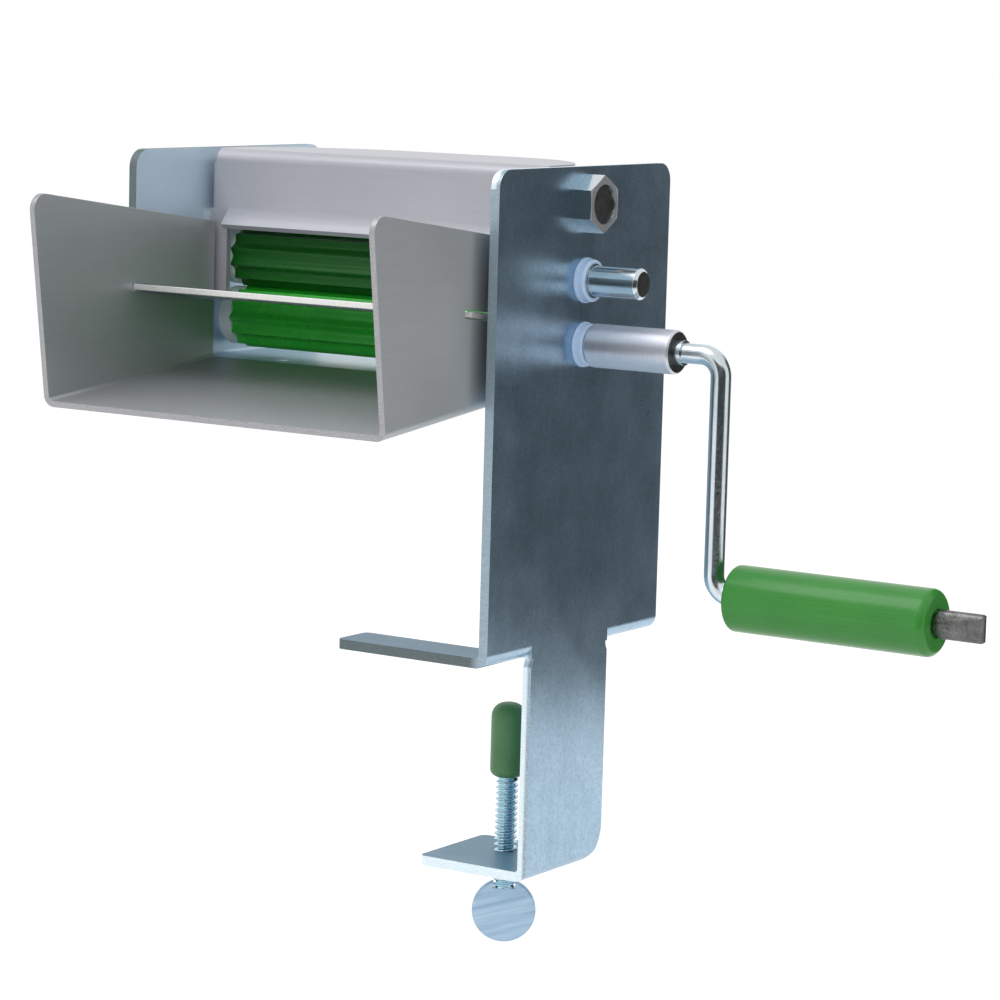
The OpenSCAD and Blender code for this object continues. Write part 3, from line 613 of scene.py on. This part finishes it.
def on_tray_edge(centre, normal):
    """1 on the cut edges of the tray's walls and floor."""
    at_wall = min(centre.x - TRAY_LOW.x, TRAY_HIGH.x - centre.x) < TRAY_WALL_BAND
    if at_wall:
        faces_out = normal.z > -LOOSELY or abs(normal.y) > BROADLY
        return 1 if abs(normal.x) < LOOSELY and faces_out else 0
    return 1 if abs(normal.y) > BROADLY else 0


def on_shelf_edge(centre, normal):
    """1 on the cut edges of the shelf, which slopes only a little."""
    return 1 if abs(normal.z) < BROADLY else 0


def on_end_face(centre, normal):
    """1 on both end faces of a shaft."""
    return 1 if abs(normal.x) > SQUARELY else 0


def on_right_end(centre, normal):
    """1 on the end face of the sleeve that the rod comes out of."""
    return 1 if normal.x > SQUARELY else 0


def past_grip(centre, normal):
    """1 on the hammered end of the rod."""
    return 1 if centre.x > GRIP_END else 0


def on_bolt_face(centre, normal):
    """1 on the dished face of the bolt's head, 2 on the rim round it."""
    height = centre.x - PLATE_OUT
    if normal.x < RIM_SLOPE or height < HEAD_RIM_FROM:
        return 0
    return 1 if height < HEAD_DISH_TO and normal.x > SQUARELY else 2


def dress_sheets():
    """The five pieces of bent or cut sheet."""
    dress("clamp_plate", "clamp_plate_zinc", (ZINC, CLAMP_EDGE, ZINC_REST, REST_EDGE),
          PLATE_ROUND, on_clamp_plate)
    dress("side_plate", "side_plate_zinc", (ZINC_INSIDE_LIT, REST_EDGE),
          PLATE_ROUND, on_plate_edge)
    dress("guard", "guard_cover", (GUARD,), SHEET_ROUND)
    dress("tray", "tray_pan", (TRAY, TRAY_EDGE), SHEET_ROUND, on_tray_edge)
    dress("feed_shelf", "shelf_sheet", (TRAY, SHELF_EDGE), SHEET_ROUND, on_shelf_edge)


def dress_turned():
    """Bolt, nut, washer, shafts, rings, sleeve and rod."""
    dress("tie_bolt", "tie_bolt_bright", (BRIGHT, DARK, TRAY_EDGE),
          HEX_ROUND, on_bolt_face, HEX_DEGREES)
    dress("tie_nut", "tie_nut_bright", (BRIGHT,), HEX_ROUND, None, HEX_DEGREES)
    dress("tie_washer", "tie_washer_bright", (BRIGHT,), WASHER_ROUND)
    for level in ("upper", "lower"):
        dress(f"{level}_shaft", f"{level}_shaft_bright", (BRIGHT, DARK),
              SHAFT_ROUND, on_end_face)
        dress(f"{level}_ring", f"{level}_ring_bright", (BRIGHT,), TURNED_ROUND)
    dress("crank_sleeve", "crank_sleeve_turned", (SLEEVE, DARK),
          TURNED_ROUND, on_right_end)
    dress("crank_rod", "crank_rod_bent", (BRIGHT, HAMMERED),
          ROD_ROUND, past_grip, ROD_DEGREES)


def dress_plastic():
    """Grip, pad, rollers, bushes and end discs."""
    dress("grip", "grip_green", (GRIP,), GRIP_ROUND)
    dress("clamp_pad", "clamp_pad_green", (PAD,), PAD_ROUND)
    for level in ("upper", "lower"):
        dress(f"{level}_roller", f"{level}_roller_green", (ROLLERS[level],),
              TURNED_ROUND, None, ROLLER_DEGREES)
        for side in ("right", "left"):
            dress(f"{level}_bush_{side}", f"{level}_bush_{side}_white", (BUSH,),
                  TURNED_ROUND)
            dress(f"{level}_disc_{side}", f"{level}_disc_{side}_white", (END_DISC,),
                  TURNED_ROUND)


def dress_hidden():
    """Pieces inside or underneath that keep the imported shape."""
    for node in ("tie_spacer", "ear_washers", "tray_screws"):
        nodes[node].data.materials.clear()
        nodes[node].data.materials.append(BRIGHT)


# The clamp screw's thread

THREAD_PITCH = 1.9 * MM
THREAD_DEPTH = 1.0 * MM
THREAD_FADE = 1.2 * MM
THREAD_SIDES = 48
THREAD_SMOOTH_DEGREES = 60
RINGS_PER_PITCH = 12

# The rings are cut in two passes, because one pass makes no more than 100 cuts
COARSE_CUTS = 99

# An edge is upright when it rises by more than this share of its length
UPRIGHT_SHARE = 0.9


def thread_radius(angle, height, radius, length):
    """Radius of a right-hand thread with rounded crests and roots, chamfered at both ends."""
    phase = (height / THREAD_PITCH - angle / math.tau) % 1.0
    wave = abs(2 * phase - 1)
    profile = wave * wave * (3 - 2 * wave)
    end = min(height, length - height) / THREAD_FADE
    crest = radius - THREAD_DEPTH * (1 - min(1.0, max(0.0, end)))
    return min(crest, radius - THREAD_DEPTH * (1 - profile))


def threaded_screw():
    """The clamp screw: a cylinder cut into fine rings, whose corners then move in to the thread."""
    radius = (SCREW_HIGH.x - SCREW_LOW.x) / 2
    length = SCREW_HIGH.z - SCREW_LOW.z
    deselect()
    bpy.ops.mesh.primitive_cylinder_add(vertices=THREAD_SIDES, radius=radius, depth=length,
                                        location=SCREW_AXIS)
    piece = bpy.context.object
    piece.name = "clamp_screw_thread"
    piece.data.transform(Matrix.Translation(SCREW_AXIS))
    piece.matrix_world = Matrix.Identity(4)
    bpy.ops.object.mode_set(mode="EDIT")
    bpy.ops.mesh.select_mode(type="EDGE")
    rings = length / THREAD_PITCH * RINGS_PER_PITCH
    for cuts in (COARSE_CUTS, math.ceil(rings / (COARSE_CUTS + 1)) - 1):
        bpy.ops.mesh.select_all(action="DESELECT")
        mesh = bmesh.from_edit_mesh(piece.data)
        for edge in mesh.edges:
            rise = edge.verts[1].co.z - edge.verts[0].co.z
            edge.select = abs(rise) > UPRIGHT_SHARE * edge.calc_length()
        bmesh.update_edit_mesh(piece.data)
        bpy.ops.mesh.subdivide(number_cuts=cuts)
    mesh = bmesh.from_edit_mesh(piece.data)
    for vertex in mesh.verts:
        out = Vector((vertex.co.x - SCREW_AXIS.x, vertex.co.y - SCREW_AXIS.y))
        if out.length > radius / 2:
            angle = math.atan2(out.y, out.x)
            out = out.normalized() * thread_radius(angle, vertex.co.z - SCREW_LOW.z, radius, length)
            vertex.co.x = SCREW_AXIS.x + out.x
            vertex.co.y = SCREW_AXIS.y + out.y
    bmesh.update_edit_mesh(piece.data)
    bpy.ops.object.mode_set(mode="OBJECT")
    bpy.ops.object.shade_smooth_by_angle(angle=math.radians(THREAD_SMOOTH_DEGREES))
    paint(piece, (THREAD,))
    stand_for(piece, "clamp_screw")


dress_sheets()
dress_turned()
dress_plastic()
dress_hidden()
threaded_screw()
dress("turn_disc", "turn_disc_brushed", (DISC,), SHEET_ROUND)


# Stage, light and camera

# The floor lies this far below the disc, which comes down when the clamp opens
FLOOR_DROP = 30 * MM
FLOOR_REACH = 60.0
FLOOR_GREY = 0.82
FLOOR_GLOW = 0.42

# The clamp plate mirrors one card to the lens; the other stands in front, for the round steel
AWAY_FROM_LENS = Vector((0.545, 0.838, 0.0))
TOWARDS_LENS = Vector((0.545, -0.838, 0.0))
PLATE_CARD_AT = Vector((158.0, 188.0, 94.0)) * MM
PLATE_CARD_WIDTH = 205 * MM
PLATE_CARD_HEIGHT = 316 * MM
PLATE_CARD_GLOW = tone(0.075, 0.082, 0.086)
FRONT_CARD_AT = Vector((440.0, -370.0, 145.0)) * MM
FRONT_CARD_WIDTH = 970 * MM
FRONT_CARD_HEIGHT = 510 * MM
FRONT_CARD_GLOW = tone(0.03, 0.035, 0.036)

WORLD_LIGHT = 0.72
LAMP_AIM = Vector((0.0, 0.0, 50.0)) * MM

# The camera's place, turn and lens, found from straight edges of the photograph
CAMERA_AT = Vector((605.0, -973.2, 204.4)) * MM
CAMERA_RIGHT = Vector((0.8364, 0.5474, 0.0272))
CAMERA_UP = Vector((-0.0970, 0.0990, 0.9903))
LENS_MM = 130.07
SENSOR_MM = 36.0
CLIP_NEAR = 50 * MM
CLIP_FAR = 200.0


def shown_white(tree):
    """1 for camera, glossy and transmission rays: those that show the background itself."""
    path = tree.nodes.new("ShaderNodeLightPath")
    total = path.outputs["Is Camera Ray"]
    for name in ("Is Glossy Ray", "Is Transmission Ray"):
        largest = tree.nodes.new("ShaderNodeMath")
        largest.operation = "MAXIMUM"
        tree.links.new(total, largest.inputs[0])
        tree.links.new(path.outputs[name], largest.inputs[1])
        total = largest.outputs["Value"]
    return total


def pale_floor():
    """A pale floor below the clamp, with a soft shadow."""
    material = bpy.data.materials.new("floor_paper")
    material.use_nodes = True
    tree = material.node_tree
    shader = tree.nodes["Principled BSDF"]
    shader.inputs["Base Color"].default_value = tone(FLOOR_GREY, FLOOR_GREY, FLOOR_GREY)
    shader.inputs["Roughness"].default_value = 1.0
    shader.inputs["Specular IOR Level"].default_value = 0.0
    shader.inputs["Emission Color"].default_value = WHITE
    lift = add_range(tree, shown_white(tree), 0.0, 1.0, 0.0, FLOOR_GLOW)
    tree.links.new(lift, shader.inputs["Emission Strength"])
    deselect()
    bpy.ops.mesh.primitive_plane_add(size=2 * FLOOR_REACH, location=(0, 0, cad_low.z - FLOOR_DROP))
    floor = bpy.context.object
    floor.name = "floor"
    floor.data.materials.append(material)


def reflected_card(name, place, width, height, heading, glow):
    """A dark card seen only in reflections: it gives the zinc plate and the round steel their depth."""
    material = bpy.data.materials.new(name)
    material.use_nodes = True
    shader = material.node_tree.nodes["Principled BSDF"]
    shader.inputs["Base Color"].default_value = tone(0.0, 0.0, 0.0)
    shader.inputs["Roughness"].default_value = 1.0
    shader.inputs["Specular IOR Level"].default_value = 0.0
    shader.inputs["Emission Color"].default_value = glow
    shader.inputs["Emission Strength"].default_value = 1.0
    deselect()
    turn = heading.to_track_quat("Z", "Y").to_euler()
    bpy.ops.mesh.primitive_plane_add(size=1.0, location=place, rotation=turn)
    card = bpy.context.object
    card.name = name
    card.scale = (width, height, 1.0)
    card.data.materials.append(material)
    card.visible_camera = False
    card.visible_diffuse = False
    card.visible_shadow = False
    card.visible_transmission = False


def white_world():
    """Even light all round, and plain white where the background shows."""
    world = bpy.data.worlds.new("studio")
    bpy.context.scene.world = world
    world.use_nodes = True
    tree = world.node_tree
    background = tree.nodes["Background"]
    background.inputs["Color"].default_value = WHITE
    strength = add_range(tree, shown_white(tree), 0.0, 1.0, WORLD_LIGHT, 1.0)
    tree.links.new(strength, background.inputs["Strength"])


def area_lamp(name, place, size, power):
    """A soft square lamp aimed at the clamp plate; lengths in metres, power in watts."""
    lamp = bpy.data.lights.new(name, "AREA")
    lamp.shape = "SQUARE"
    lamp.size = size
    lamp.energy = power
    item = bpy.data.objects.new(name, lamp)
    item.location = place
    item.rotation_euler = (LAMP_AIM - Vector(place)).to_track_quat("-Z", "Y").to_euler()
    bpy.context.scene.collection.objects.link(item)


def photo_camera():
    """The camera of the photo's view."""
    camera = bpy.data.objects.new("camera", bpy.data.cameras.new("camera"))
    camera.data.sensor_fit = "HORIZONTAL"
    camera.data.sensor_width = SENSOR_MM
    camera.data.lens = LENS_MM
    camera.data.clip_start = CLIP_NEAR
    camera.data.clip_end = CLIP_FAR
    right = CAMERA_RIGHT.normalized()
    back = right.cross(CAMERA_UP).normalized()
    up = back.cross(right)
    turn = Matrix((right, up, back)).transposed()
    camera.matrix_world = Matrix.Translation(CAMERA_AT) @ turn.to_4x4()
    bpy.context.scene.collection.objects.link(camera)
    bpy.context.scene.camera = camera


pale_floor()
reflected_card("plate_card", PLATE_CARD_AT, PLATE_CARD_WIDTH, PLATE_CARD_HEIGHT,
               AWAY_FROM_LENS, PLATE_CARD_GLOW)
reflected_card("front_card", FRONT_CARD_AT, FRONT_CARD_WIDTH, FRONT_CARD_HEIGHT,
               TOWARDS_LENS, FRONT_CARD_GLOW)
white_world()
area_lamp("top_lamp", place=(-0.35, -0.55, 1.25), size=0.9, power=7.0)
area_lamp("front_lamp", place=(0.75, -1.15, 0.55), size=0.7, power=2.5)
photo_camera()

view = bpy.context.scene.view_settings
view.view_transform = "Standard"
